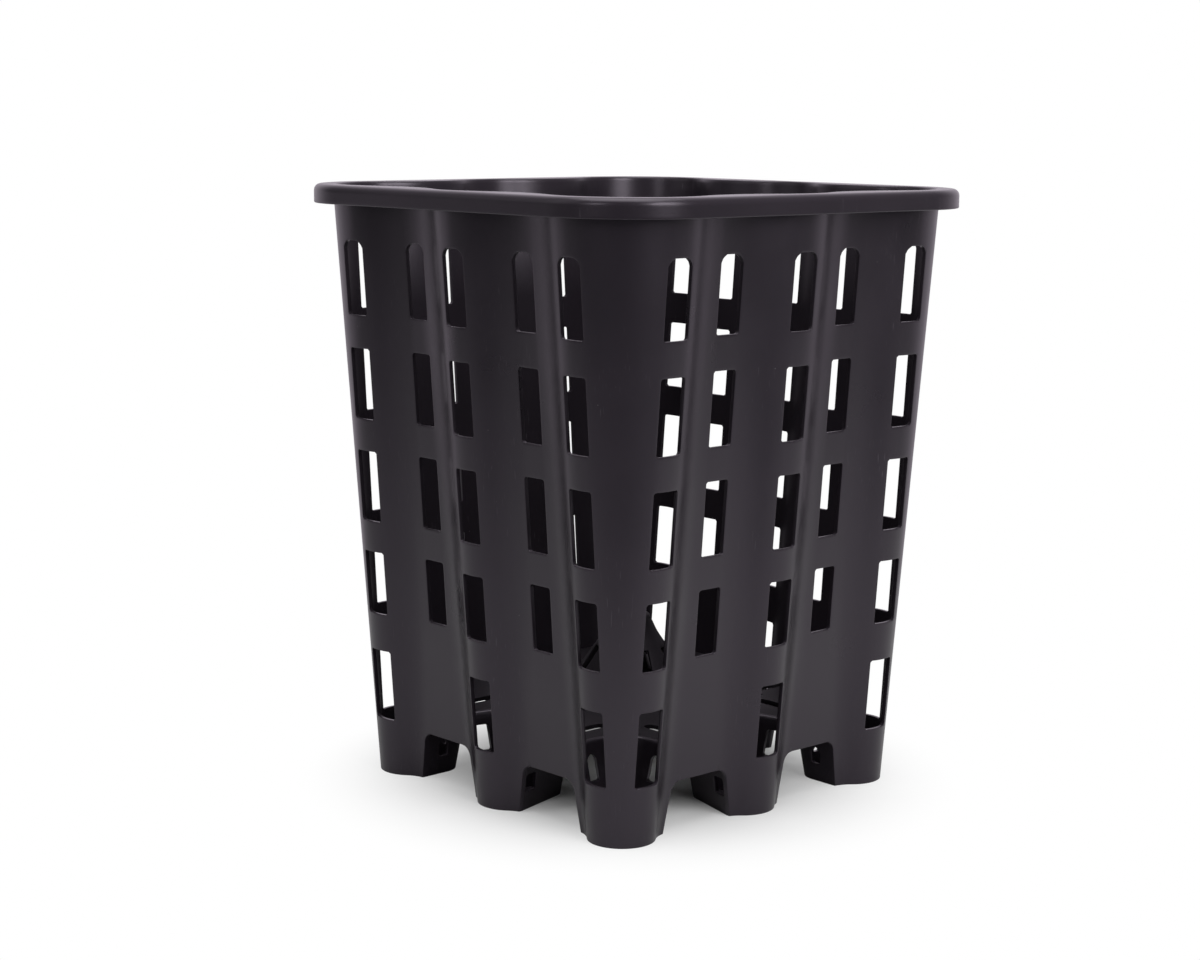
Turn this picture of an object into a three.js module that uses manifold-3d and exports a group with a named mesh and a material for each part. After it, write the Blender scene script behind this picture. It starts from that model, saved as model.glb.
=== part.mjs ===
// A square air pruning pot, as one charcoal polypropylene moulding shown in its sections.
// Millimetres, +Z up. The origin is on the ground, on the pot's axis. The front face looks towards -Y.

import * as THREE from 'three';
import { mergeVertices } from 'three/addons/utils/BufferGeometryUtils.js';
import Module from 'manifold-3d';

const wasm = await Module();
wasm.setup();

// Wall of the pot
const potHeight = 315;
const wall = 2.2;
const gap = 0.3;               // hairline between neighbouring sections
const columnPitch = 83.6;      // from one column's axis to the next, along a face
const columnAtGround = 17;     // radius of a corner column at the ground
const columnAtTop = 39.8;      // and at the mouth
const sideColumnAtGround = 17.6;
const sideColumnAtTop = 41.6;
const crestAtGround = columnPitch + columnAtGround;
const crestAtTop = columnPitch + columnAtTop;
const valleyDepth = 8.5;       // from the corner columns' crests back to the valley floor
const blendAtGround = 17;      // radius that turns a column's flank into the valley
const blendAtTop = 65;

// Slots. The rows spread or close up until the wall above them has its own height.
const columnSlotWidth = 15.5;
const valleySlotWidth = 14.6;
const slotBottoms = [30.3, 88.5, 138.9, 193.4, 248];
const slotHeights = [38, 33.8, 37.6, 37.3, 38.7];
const wallAboveSlots = 28.3;
const topSlotChamfer = 3.8;    // only the top row has its upper corners taken off

// Rim
const rimOverhang = 9.7;       // beyond the crests
const rimSkirt = 9.8;          // height of the down-turned edge
const rimRound = 3.4;          // outer top edge
const rimPlate = 2.2;

// Feet, the arches between them and the raised base
const archTop = 26;
const archCorner = 6.5;
const sideFootHalf = 17.3;     // half width of a side foot on the ground
const sideFootEnd = 9;         // radius of its inner end
const sideFootReach = 62;      // from the pot's axis to the centre of that end
const cornerFootInset = 20.2;  // from a corner column's axis in to its foot's side
const cornerFootEdge = columnPitch - cornerFootInset;
const cornerFootRound = 12;    // its inner corner
const footDraft = 0.18;        // the feet widen by this for each mm of height
const sole = 2.2;
const drainRadius = 4;
const cornerDrainInset = 1.6;  // in from a corner column's axis, both ways
const sideDrainAt = 76;
const sideWindowFromWall = 1;  // windows of the feet, measured along the foot's wall
const sideWindowWidth = 9;
const cornerWindowFromWall = 8;
const cornerWindowWidth = 6;
const windowBottoms = [10, 23.5];
const windowHeights = [9.5, 13.5];
const deckTop = 44;
const deckPlate = 2.2;
const deckWeb = 6.48;          // of deck between a side foot and the cone
const deckSlotWidth = 7;
const ridgeSlotStart = 55;     // slots along the ridges, from the pot's axis
const ridgeSlotLength = 24;
const cornerSlotFromCone = 9;  // slots on the diagonals, from the cone's foot
const cornerSlotLength = 24;

// Central cone
const coneTop = 88;
const coneTopRadius = 10;
const coneShoulderDrop = 10;   // from the top down to the shoulder
const coneShoulder = coneTop - coneShoulderDrop;
const coneShoulderRadius = 14;
const coneFootRadius = sideFootReach - sideFootEnd - footDraft * deckTop - deckWeb - 2 * gap;
const coneWall = 2.2;
const coneTopBevel = 1.5;
const coneSlots = 8;
const coneSlotWidth = 6;
const coneSlotFromDeck = 7;
const coneSlotFromShoulder = 7;

// Facets
const faceFacets = 16;         // of the rim along one face
const cornerFacets = 6;        // of the rim round one corner
const rimRoundFacets = 2;
const columnCornerFacets = 3;  // of a corner column between its two rows of slots
const flankFacets = 2;         // of a column from its slots to its edge
const archFacets = 2;
const footEndFacets = 4;       // of the inner end of a foot
const soleFacets = 5;          // of the sole along a column
const deckEdgeFacets = 3;
const drainFacets = 12;
const coneFacets = 24;
const weld = 1e-4;             // points nearer than this are one

const quarter = Math.PI / 2;
const halfPitch = columnPitch / 2;
const halfColumnSlot = columnSlotWidth / 2;
const halfValleySlot = valleySlotWidth / 2;
const rowSpread = (potHeight - wallAboveSlots) / (slotBottoms.at(-1) + slotHeights.at(-1));
const wallTop = potHeight - rimPlate - gap;
const ridgeMiddle = (sideFootHalf + cornerFootEdge) / 2;
const cornerDrainAt = columnPitch - cornerDrainInset;
const cornerSlotStart = coneFootRadius + cornerSlotFromCone;
const coneSlotBottom = deckTop + coneSlotFromDeck;
const coneSlotHeight = coneShoulder - coneSlotFromShoulder - coneSlotBottom;

// Radius of an arch's corners, limited by the wall between the feet and the slots above.
const besideSlots = Math.min(halfPitch - sideFootHalf, cornerFootEdge - halfPitch) - halfValleySlot;
const archRound = Math.min(archCorner, besideSlots - footDraft * archTop - gap);
const middle = new THREE.Vector2(0, 0);
const finishes = {
  wall: { color: 0x39373a, roughness: 0.45 },
  rim: { color: 0x3a383b, roughness: 0.4 },
  base: { color: 0x2c2a2d, roughness: 0.5 },
};

// Radius of a column at height z. The side columns stand out a little further than the corner ones.
function columnRadius(z, isSide) {
  const atGround = isSide ? sideColumnAtGround : columnAtGround;
  return between(atGround, isSide ? sideColumnAtTop : columnAtTop, z / potHeight);
}

// Distance from the pot's axis to the valley floor at height z.
function valleyOut(z) {
  return columnPitch + columnRadius(z, false) - valleyDepth;
}

// Radius between flank and valley. It is limited so that two blends meet at the middle of a valley.
function blend(z, radius) {
  const depth = columnPitch + radius - valleyOut(z);
  const most = (halfPitch * halfPitch / depth - (2 * radius - depth)) / 2;
  return Math.min(between(blendAtGround, blendAtTop, z / potHeight), most);
}

// How far the face stands out at u along it and height z. The inset gives a surface inside the wall.
// Round columns stand on axes one pitch apart, and a hollow arc leads each into the flat valley.
function faceOut(u, z, inset = 0) {
  const isSide = Math.abs(u) < halfPitch;
  const radius = columnRadius(z, isSide);
  const lobe = radius - inset;
  const hollow = blend(z, radius) + inset;
  const valley = valleyOut(z) - inset;
  const rise = valley + hollow - columnPitch;
  const reach = Math.sqrt((lobe + hollow) ** 2 - rise ** 2);
  const across = Math.abs(Math.abs(u) - (isSide ? 0 : columnPitch));
  const onLobe = across <= reach * lobe / (lobe + hollow) || Math.abs(u) > columnPitch;
  if (onLobe) return columnPitch + Math.sqrt(Math.max(lobe ** 2 - across ** 2, 0));
  if (across < reach) return valley + hollow - Math.sqrt(hollow ** 2 - (reach - across) ** 2);
  return valley;
}

// A point of the front face, and a point of the round corner on the front's right.
function frontPoint(u, z, inset) {
  return new THREE.Vector3(u, -faceOut(u, z, inset), z);
}

function cornerPoint(part, z, inset) {
  const radius = columnRadius(z, false) - inset;
  const start = Math.asin(halfColumnSlot / radius);
  const point = aroundCornerAxis(radius, between(start, quarter - start, part));
  return new THREE.Vector3(point.x, point.y, z);
}

// Plan of a round corner on the front's right. The angle starts at the front and ends at the right.
function aroundCornerAxis(radius, angle) {
  const out = new THREE.Vector2(0, -radius).rotateAround(middle, angle);
  return out.add(new THREE.Vector2(columnPitch, -columnPitch));
}

// The same point on the other side of the diagonal through the front right corner.
function acrossDiagonal(point) {
  return new THREE.Vector3(-point.y, -point.x, point.z);
}

// Side of a foot at height z, without and with the arch's rounded upper corner.
function sideFootAt(z) {
  return sideFootHalf + footDraft * z;
}

function cornerFootAt(z) {
  return cornerFootEdge - footDraft * z;
}

function archRounding(z) {
  const rise = Math.min(Math.max(z - (archTop - archRound), 0), archRound);
  return archRound - Math.sqrt(archRound ** 2 - rise ** 2);
}

function sideColumnEdge(z) {
  return sideFootAt(Math.min(z, archTop - archRound)) + archRounding(z);
}

function cornerColumnEdge(z) {
  return cornerFootAt(Math.min(z, archTop - archRound)) - archRounding(z);
}

function between(a, b, part) {
  return a + (b - a) * part;
}

// Even shares of 1, from 0 up to the last before 1.
function shares(count) {
  return Array.from({ length: count }, (_, index) => index / count);
}

// A closed sheet from two grids of points, outer[i][j] and inner[i][j]. Open cells are left out.
function sheet(outer, inner, isOpen) {
  const across = outer.length;
  const up = outer[0].length;
  const positions = [];
  const indices = [];
  for (const grid of [outer, inner]) {
    for (const line of grid) {
      for (const point of line) positions.push(point.x, point.y, point.z);
    }
  }
  const front = (i, j) => i * up + j;
  const back = (i, j) => across * up + i * up + j;
  const solid = (i, j) => i >= 0 && j >= 0 && i < across - 1 && j < up - 1 && !isOpen(i, j);
  const quad = (a, b, c, d) => indices.push(a, b, c, a, c, d);
  for (let i = 0; i < across - 1; i += 1) {
    for (let j = 0; j < up - 1; j += 1) {
      if (!solid(i, j)) continue;
      quad(front(i, j), front(i + 1, j), front(i + 1, j + 1), front(i, j + 1));
      quad(back(i, j), back(i, j + 1), back(i + 1, j + 1), back(i + 1, j));
      if (!solid(i - 1, j)) quad(front(i, j), front(i, j + 1), back(i, j + 1), back(i, j));
      if (!solid(i + 1, j)) quad(front(i + 1, j), back(i + 1, j), back(i + 1, j + 1), front(i + 1, j + 1));
      if (!solid(i, j - 1)) quad(front(i, j), back(i, j), back(i + 1, j), front(i + 1, j));
      if (!solid(i, j + 1)) quad(front(i, j + 1), front(i + 1, j + 1), back(i + 1, j + 1), back(i, j + 1));
    }
  }
  return closedGeometry(positions, indices);
}

// Keeps only the points that a triangle uses.
function closedGeometry(positions, indices) {
  const loose = new THREE.BufferGeometry();
  loose.setAttribute('position', new THREE.Float32BufferAttribute(positions, 3));
  loose.setIndex(indices);
  return mergeVertices(loose.toNonIndexed(), weld);
}

// Heights of the grid lines of a wall section, and the slot rows between them.
// The line under the chamfer of the top slots lies a hairline lower, so that no cell closes up there.
function wallLevels(start, firstRow) {
  const levels = [...start];
  const rows = [];
  for (let row = firstRow; row < slotBottoms.length; row += 1) {
    const bottom = slotBottoms[row] * rowSpread;
    const top = bottom + slotHeights[row] * rowSpread;
    rows.push(levels.length);
    levels.push(bottom);
    if (row === slotBottoms.length - 1) {
      rows.push(levels.length);
      levels.push(top - topSlotChamfer - gap);
    }
    levels.push(top);
  }
  levels.push(wallTop);
  return { levels, rows };
}

// A wall section. Stations are functions of height, and give a point for an inset.
// Where slotted is true, the cells from that station to the next are cut out in every slot row.
function wallSection(stations, { levels, rows }) {
  const chamferLevel = levels.length - 2;
  const grid = (inset) => stations.map((station) => levels.map((z, j) => {
    const lowered = station.slotEdge && j === chamferLevel ? topSlotChamfer : 0;
    return station.at(z - lowered, inset);
  }));
  return sheet(grid(0), grid(wall), (i, j) => Boolean(stations[i].slotted) && rows.includes(j));
}

// A station at u on the front face.
function stationAt(u, marks = {}) {
  return { at: (z, inset) => frontPoint(u, z, inset), ...marks };
}

// Stations across one slot, centred at u on the front face. A column is round there, so it has a middle one.
function slotStations(u, isRound) {
  const halfSlot = isRound ? halfColumnSlot : halfValleySlot;
  const inner = halfSlot - topSlotChamfer;
  return [
    stationAt(u - halfSlot, { slotted: true, slotEdge: true }),
    stationAt(u - inner, { slotted: true }),
    ...(isRound ? [stationAt(u, { slotted: true })] : []),
    stationAt(u + inner, { slotted: true }),
    stationAt(u + halfSlot, { slotEdge: true }),
  ];
}

// Levels through a foot, with the arch's rounded corner in facets.
function footLevels() {
  const rounding = [...shares(archFacets), 1].map((part) => archRound * Math.sin(quarter * part));
  return [0, ...rounding.map((rise) => archTop - archRound + rise)];
}

// Column in the middle of a face.
function sideColumn() {
  const flank = (side) => shares(flankFacets).map((part) => ({
    at: (z, inset) => frontPoint(side * between(sideColumnEdge(z) - gap / 2, halfColumnSlot, part), z, inset),
  }));
  const stations = [...flank(-1), ...slotStations(0, true), ...flank(1).reverse()];
  return wallSection(stations, wallLevels(footLevels(), 0));
}

// Column round the front right corner, with a row of slots on each face.
function cornerColumn() {
  const flankAt = (z, part) => between(cornerColumnEdge(z) + gap / 2, columnPitch - halfColumnSlot, part);
  const flank = shares(flankFacets).map((part) => ({
    at: (z, inset) => frontPoint(flankAt(z, part), z, inset),
  }));
  const front = [...flank, ...slotStations(columnPitch, true)];
  const round = shares(columnCornerFacets).slice(1).map((part) => ({
    at: (z, inset) => cornerPoint(part, z, inset),
  }));
  const right = front.map((station, index) => ({
    at: (z, inset) => acrossDiagonal(station.at(z, inset)),
    slotEdge: station.slotEdge,
    slotted: Boolean(index > 0 && front[index - 1].slotted),
  }));
  return wallSection([...front, ...round, ...right.reverse()], wallLevels(footLevels(), 0));
}

// Hollow panel between two columns, above an arch. Side is 1 on the face's right and -1 on its left.
function valleyPanel(side) {
  const start = sideColumnEdge(archTop) + gap / 2;
  const end = cornerColumnEdge(archTop) - gap / 2;
  const edges = [stationAt(side * start), stationAt(side * end)];
  if (side < 0) edges.reverse();
  const stations = [edges[0], ...slotStations(side * halfPitch, false), edges[1]];
  return wallSection(stations, wallLevels([archTop], 1));
}

// Rim: a flat top whose inner edge follows the columns, and a plain rounded square skirt outside.
function rimBand() {
  const inner = [];
  const outward = [];
  const skirtRadius = crestAtTop + rimOverhang - columnPitch;
  const lobe = crestAtTop - columnPitch - wall;
  for (const part of shares(faceFacets)) {
    const u = between(-columnPitch, columnPitch, part);
    inner.push(new THREE.Vector2(u, -faceOut(u, potHeight, wall)));
    outward.push({ base: new THREE.Vector2(u, -columnPitch), out: new THREE.Vector2(0, -1) });
  }
  for (const part of shares(cornerFacets)) {
    inner.push(aroundCornerAxis(lobe, quarter * part));
    const out = new THREE.Vector2(0, -1).rotateAround(middle, quarter * part);
    outward.push({ base: new THREE.Vector2(columnPitch, -columnPitch), out });
  }
  const bend = [...shares(rimRoundFacets), 1].map((part) => {
    const angle = quarter * part;
    return [skirtRadius - rimRound * (1 - Math.sin(angle)), potHeight - rimRound * (1 - Math.cos(angle))];
  });
  const skirtInside = skirtRadius - rimPlate;
  const skirtFoot = potHeight - rimSkirt;
  const under = potHeight - rimPlate;
  const profile = [...bend, [skirtRadius, skirtFoot], [skirtInside, skirtFoot], [skirtInside, under]];
  const positions = [];
  const around = 4 * inner.length;
  for (let turn = 0; turn < 4; turn += 1) {
    const turned = (v, z) => {
      const point = v.clone().rotateAround(middle, turn * quarter);
      positions.push(point.x, point.y, z);
    };
    inner.forEach((edge, index) => {
      turned(edge, under);
      turned(edge, potHeight);
      const { base, out } = outward[index];
      for (const [radius, z] of profile) turned(base.clone().addScaledVector(out, radius), z);
    });
  }
  const count = profile.length + 2;
  const indices = [];
  for (let i = 0; i < around; i += 1) {
    for (let j = 0; j < count; j += 1) {
      const a = i * count + j;
      const b = i * count + (j + 1) % count;
      const c = ((i + 1) % around) * count + (j + 1) % count;
      const d = ((i + 1) % around) * count + j;
      indices.push(a, b, c, a, c, d);
    }
  }
  return closedGeometry(positions, indices);
}

// Plan of a side foot's wall: from the face on the left, round the inner end, to the face on the right.
// Grow is the distance out from the ground outline. The wall narrows inwards and ends in an arc.
// Where its straight side meets the face is found by going back and forth a few times.
function sideFootPath(grow, z) {
  const valley = crestAtGround - valleyDepth;
  const length = Math.hypot(sideFootHalf, valley - sideFootReach);
  const taper = Math.acos(sideFootEnd / length) - Math.atan2(valley - sideFootReach, sideFootHalf);
  const radius = sideFootEnd + grow;
  const side = new THREE.Vector2(Math.cos(taper), Math.sin(taper));
  const tangent = new THREE.Vector2(side.x * radius, -sideFootReach + side.y * radius);
  const along = new THREE.Vector2(side.y, -side.x);
  let run = 0;
  const passes = 12;
  for (let pass = 0; pass < passes; pass += 1) {
    const u = tangent.x + along.x * run;
    run = (faceOut(u, z, wall) - gap + tangent.y) / -along.y;
  }
  const from = (distance) => tangent.clone().addScaledVector(along, run - distance);
  const path = [from(0), from(sideWindowFromWall), from(sideWindowFromWall + sideWindowWidth)];
  for (const part of [...shares(footEndFacets), 1]) {
    const angle = between(taper, Math.PI - taper, part);
    path.push(new THREE.Vector2(radius * Math.cos(angle), -sideFootReach + radius * Math.sin(angle)));
  }
  for (let index = 2; index >= 0; index -= 1) path.push(new THREE.Vector2(-path[index].x, path[index].y));
  return path.reverse();
}

// Plan of a corner foot's wall: straight in from the front face, round its inner corner and out to the right.
function cornerFootPath(grow, z) {
  const edge = cornerFootEdge - grow;
  const toWindowEnd = cornerWindowFromWall + cornerWindowWidth;
  const mostRound = crestAtGround - valleyDepth - wall - toWindowEnd - cornerFootEdge - gap;
  const round = Math.min(cornerFootRound, mostRound);
  const centre = cornerFootEdge + round;
  const radius = round + grow;
  const start = faceOut(edge, z, wall) - gap;
  const half = [start, start - cornerWindowFromWall, start - toWindowEnd].map(
    (out) => new THREE.Vector2(edge, -out),
  );
  const path = [...half];
  for (const part of [...shares(footEndFacets), 1]) {
    const angle = quarter * part;
    path.push(new THREE.Vector2(centre - radius * Math.cos(angle), -centre + radius * Math.sin(angle)));
  }
  for (const point of half.reverse()) path.push(new THREE.Vector2(-point.y, -point.x));
  return path;
}

// Solid for manifold-3d from a closed geometry, and back.
function toSolid(geometry) {
  const bare = geometry.clone();
  bare.deleteAttribute('normal');
  bare.deleteAttribute('uv');
  const merged = mergeVertices(bare, weld);
  const mesh = new wasm.Mesh({
    numProp: 3,
    vertProperties: new Float32Array(merged.attributes.position.array),
    triVerts: new Uint32Array(merged.index.array),
  });
  return new wasm.Manifold(mesh);
}

function fromSolid(solid) {
  const mesh = solid.getMesh();
  return closedGeometry(Array.from(mesh.vertProperties), Array.from(mesh.triVerts));
}

function plate(shape, bottom, thickness) {
  const geometry = new THREE.ExtrudeGeometry(shape, { depth: thickness, bevelEnabled: false });
  return geometry.translate(0, 0, bottom);
}

// An outline without the points that lie on a straight line between their neighbours.
function onlyCorners(points) {
  const leastTurn = 1e-3;
  return points.filter((point, index) => {
    const before = points[(index + points.length - 1) % points.length];
    const after = points[(index + 1) % points.length];
    const turn = point.clone().sub(before).cross(after.clone().sub(point));
    return Math.abs(turn) > leastTurn;
  });
}

// A shape whose outline runs counter-clockwise.
function outlineShape(points) {
  const corners = onlyCorners(points);
  return new THREE.Shape(THREE.ShapeUtils.isClockWise(corners) ? corners.reverse() : corners);
}

// A round hole whose flat sides stay clear of the radius.
function roundHole(x, y, radius, sides) {
  const points = [];
  const reach = radius / Math.cos(Math.PI / sides);
  for (let side = 0; side < sides; side += 1) {
    const angle = 2 * Math.PI * side / sides;
    points.push(new THREE.Vector2(x + reach * Math.cos(angle), y + reach * Math.sin(angle)));
  }
  return new THREE.Path(points);
}

// A foot: a wall that follows the plan path and widens upwards, with two windows a side, and a sole.
function foot(pathAt, soleEdge, drain) {
  const levels = [0];
  const windowRows = [];
  windowBottoms.forEach((bottom, index) => {
    windowRows.push(levels.length);
    levels.push(bottom, bottom + windowHeights[index]);
  });
  levels.push(deckTop);
  const lines = (inset) => {
    const rows = levels.map((z) => pathAt(footDraft * z - inset, z));
    return rows[0].map((_, i) => rows.map((row, j) => new THREE.Vector3(row[i].x, row[i].y, levels[j])));
  };
  const last = lines(0).length - 1;
  const isWindow = (i, j) => windowRows.includes(j) && (i === 1 || i === last - 2);
  const wallSheet = toSolid(sheet(lines(wall), lines(0), isWindow));
  const shape = outlineShape([...pathAt(-wall / 2, 0), ...soleEdge]);
  shape.holes.push(roundHole(drain.x, drain.y, drainRadius, drainFacets));
  return fromSolid(wallSheet.add(toSolid(plate(shape, 0, sole))));
}

// Point of the base's edge at u and height z, a hairline inside the front wall.
function insideFront(u, z) {
  return new THREE.Vector2(u, gap - faceOut(u, z, wall));
}

// Outer edge of a side foot's sole, along the inside of its column.
function sideFoot() {
  const end = sideFootPath(-wall / 2, 0).at(-1).x;
  const edge = shares(2 * soleFacets).slice(1).map((part) => insideFront(between(end, -end, part), 0));
  return foot(sideFootPath, edge, new THREE.Vector2(0, -sideDrainAt));
}

// Outer edge of a corner foot's sole, from the right face round the corner to the front.
function cornerFoot() {
  const start = cornerFootPath(-wall / 2, 0)[0].x;
  const radius = crestAtGround - columnPitch - wall - gap;
  const half = shares(soleFacets).slice(1).map((part) => insideFront(between(start, columnPitch, part), 0));
  const edge = half.map((point) => new THREE.Vector2(-point.y, -point.x));
  for (const part of [...shares(soleFacets), 1]) edge.push(aroundCornerAxis(radius, quarter * (1 - part)));
  edge.push(...half.reverse());
  return foot(cornerFootPath, edge, new THREE.Vector2(cornerDrainAt, -cornerDrainAt));
}

// A long hole with round ends, which begins at a distance from an origin and runs on in a direction.
function longHole(origin, direction, start, length) {
  const radius = deckSlotWidth / 2;
  const runs = [start + length - radius, start + radius];
  const centres = runs.map((run) => origin.clone().addScaledVector(direction, run));
  const points = centres.flatMap((centre, end) => [-1, -0.5, 0, 0.5, 1].map((part) => {
    const out = direction.clone().rotateAround(middle, quarter * (part + 2 * end));
    return centre.clone().addScaledVector(out, radius);
  }));
  return new THREE.Path(points);
}

// Raised deck: the ridges over the arches and the ring round the cone, in one plate.
function baseDeck() {
  const spread = footDraft * deckTop + gap;
  const sidePath = sideFootPath(spread, deckTop);
  const cornerPath = cornerFootPath(spread, deckTop);
  const ridgeEnd = [...shares(deckEdgeFacets), 1].map((part) => {
    return insideFront(between(sidePath.at(-1).x, cornerPath[0].x, part), deckTop);
  });
  const nextRidgeEnd = ridgeEnd.map((point) => new THREE.Vector2(-point.y, -point.x)).reverse();
  const edge = [...sidePath.slice(3, -3), ...ridgeEnd, ...cornerPath.slice(3, -3), ...nextRidgeEnd];
  const outline = [];
  const holes = [roundHole(0, 0, coneFootRadius + gap, coneFacets)];
  for (let turn = 0; turn < 4; turn += 1) {
    const turned = (x, y) => new THREE.Vector2(x, y).rotateAround(middle, turn * quarter);
    outline.push(...edge.map((point) => turned(point.x, point.y)));
    const out = turned(0, -1);
    holes.push(longHole(turned(ridgeMiddle, 0), out, ridgeSlotStart, ridgeSlotLength));
    holes.push(longHole(turned(-ridgeMiddle, 0), out, ridgeSlotStart, ridgeSlotLength));
    const diagonal = turned(Math.SQRT1_2, -Math.SQRT1_2);
    holes.push(longHole(middle, diagonal, cornerSlotStart, cornerSlotLength));
  }
  const shape = outlineShape(outline);
  shape.holes.push(...holes);
  const deck = plate(shape, deckTop - deckPlate, deckPlate);
  return mergeVertices(deck.deleteAttribute('normal').deleteAttribute('uv'), weld);
}

// Hollow cone in the middle of the deck, with slots round it.
function baseCone() {
  const slope = (coneFootRadius - coneShoulderRadius) / (coneShoulder - deckTop);
  const bottom = deckTop - deckPlate;
  const side = Math.hypot(1, slope) * coneWall;
  const profile = [
    [0, coneTop - coneWall],
    [coneTopRadius - coneWall, coneTop - coneWall],
    [coneShoulderRadius - side, coneShoulder],
    [coneFootRadius - side, deckTop],
    [coneFootRadius - side, bottom],
    [coneFootRadius, bottom],
    [coneFootRadius, deckTop],
    [coneShoulderRadius, coneShoulder],
    [coneTopRadius, coneTop - coneTopBevel],
    [coneTopRadius - coneTopBevel, coneTop],
    [0, coneTop],
  ].map(([radius, z]) => new THREE.Vector2(radius, z));
  const turned = new THREE.LatheGeometry(profile, coneFacets).rotateX(quarter);
  let cone = toSolid(turned);
  for (let index = 0; index < coneSlots; index += 1) {
    const cutter = new THREE.BoxGeometry(coneFootRadius, coneSlotWidth, coneSlotHeight);
    cutter.translate(coneFootRadius / 2 + coneShoulderRadius / 2, 0, coneSlotBottom + coneSlotHeight / 2);
    cutter.rotateZ(2 * Math.PI * (index + 0.5) / coneSlots);
    cone = cone.subtract(toSolid(cutter));
  }
  return fromSolid(cone);
}

function named(name, geometry, finish) {
  const mesh = new THREE.Mesh(geometry, new THREE.MeshStandardMaterial({ ...finish, metalness: 0 }));
  mesh.name = name;
  return mesh;
}

const faces = ['front', 'right', 'back', 'left'];
const corners = ['front_right', 'back_right', 'back_left', 'front_left'];

const pot = new THREE.Group();
pot.add(named('rim', rimBand(), finishes.rim));
faces.forEach((face, turn) => {
  const side = new THREE.Group();
  side.rotation.z = turn * quarter;
  side.add(named(`side_column_${face}`, sideColumn(), finishes.wall));
  side.add(named(`corner_column_${corners[turn]}`, cornerColumn(), finishes.wall));
  side.add(named(`valley_panel_${face}_a`, valleyPanel(-1), finishes.wall));
  side.add(named(`valley_panel_${face}_b`, valleyPanel(1), finishes.wall));
  side.add(named(`side_foot_${face}`, sideFoot(), finishes.base));
  side.add(named(`corner_foot_${corners[turn]}`, cornerFoot(), finishes.base));
  pot.add(side);
});
pot.add(named('base_deck', baseDeck(), finishes.base));
pot.add(named('base_cone', baseCone(), finishes.base));

export default pot;
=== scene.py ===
# A square air pruning pot in charcoal polypropylene, dressed round its packed sections.
# Metres, +Z up. The front face looks towards -Y and the right face towards +X.
from functools import partial
from math import cos, pi, radians, sin

import bpy
import numpy as np
from mathutils import Matrix, Vector
from mathutils.geometry import delaunay_2d_cdt


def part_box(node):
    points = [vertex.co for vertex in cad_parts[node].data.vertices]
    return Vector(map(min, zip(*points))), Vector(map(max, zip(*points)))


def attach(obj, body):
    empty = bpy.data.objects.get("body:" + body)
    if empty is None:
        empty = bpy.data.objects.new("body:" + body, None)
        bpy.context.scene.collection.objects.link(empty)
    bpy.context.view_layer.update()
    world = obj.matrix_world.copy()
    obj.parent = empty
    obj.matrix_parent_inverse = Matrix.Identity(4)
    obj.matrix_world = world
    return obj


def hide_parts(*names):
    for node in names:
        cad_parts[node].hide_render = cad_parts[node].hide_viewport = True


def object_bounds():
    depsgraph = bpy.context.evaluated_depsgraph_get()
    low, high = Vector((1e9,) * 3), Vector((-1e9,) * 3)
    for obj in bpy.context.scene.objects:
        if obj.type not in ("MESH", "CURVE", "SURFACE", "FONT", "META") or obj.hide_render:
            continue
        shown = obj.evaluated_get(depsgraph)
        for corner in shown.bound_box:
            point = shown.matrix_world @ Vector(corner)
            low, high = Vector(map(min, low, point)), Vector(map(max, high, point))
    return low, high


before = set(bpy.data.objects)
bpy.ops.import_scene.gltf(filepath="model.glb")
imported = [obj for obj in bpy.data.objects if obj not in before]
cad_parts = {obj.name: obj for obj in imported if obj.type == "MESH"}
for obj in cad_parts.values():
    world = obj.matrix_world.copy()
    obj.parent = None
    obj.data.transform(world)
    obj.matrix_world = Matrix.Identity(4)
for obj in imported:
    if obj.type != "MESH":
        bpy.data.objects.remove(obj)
cadBox = [list(corner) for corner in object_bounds()]
potHeight = cadBox[1][2]
print("frame loaded:", len(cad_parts), "sections")

# The camera stands where the photograph was taken from.
cameraSettings = {
    "azimuth": radians(47.593),  # to the right of the front face
    "pitch": radians(9.103),  # downwards
    "roll": radians(-0.437),
    "distance": 1.22586,  # from the pot's axis, along the ground
    "height": 0.35576,
    "aside": 0.01682,  # to the left
    "lens": 70.11,
    "sensor": 36,
    "clip": (0.01, 50),
    "imageWidth": 1200,
    "shift": (-0.6, 0.5),  # in pixels of the photograph
}
towardsCamera = (sin(cameraSettings["azimuth"]), -cos(cameraSettings["azimuth"]), 0.0)
toRight = (cos(cameraSettings["azimuth"]), sin(cameraSettings["azimuth"]), 0.0)


def makeCamera(settings):
    pitch, roll = settings["pitch"], settings["roll"]
    back, right = Vector(towardsCamera), Vector(toRight)
    place = back * settings["distance"] - right * settings["aside"] + Vector((0, 0, settings["height"]))
    ahead = -back * cos(pitch) - Vector((0, 0, sin(pitch)))
    up = right.cross(ahead)
    rolledRight = right * cos(roll) - up * sin(roll)
    rolledUp = right * sin(roll) + up * cos(roll)
    turn = Matrix((rolledRight, rolledUp, -ahead)).transposed().to_4x4()
    data = bpy.data.cameras.new("camera")
    data.lens = settings["lens"]
    data.sensor_width = settings["sensor"]
    data.shift_x, data.shift_y = (pixels / settings["imageWidth"] for pixels in settings["shift"])
    data.clip_start, data.clip_end = settings["clip"]
    camera = bpy.data.objects.new("camera", data)
    camera.matrix_world = Matrix.Translation(place) @ turn
    bpy.context.scene.collection.objects.link(camera)
    bpy.context.scene.camera = camera


makeCamera(cameraSettings)
print("camera placed")


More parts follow.
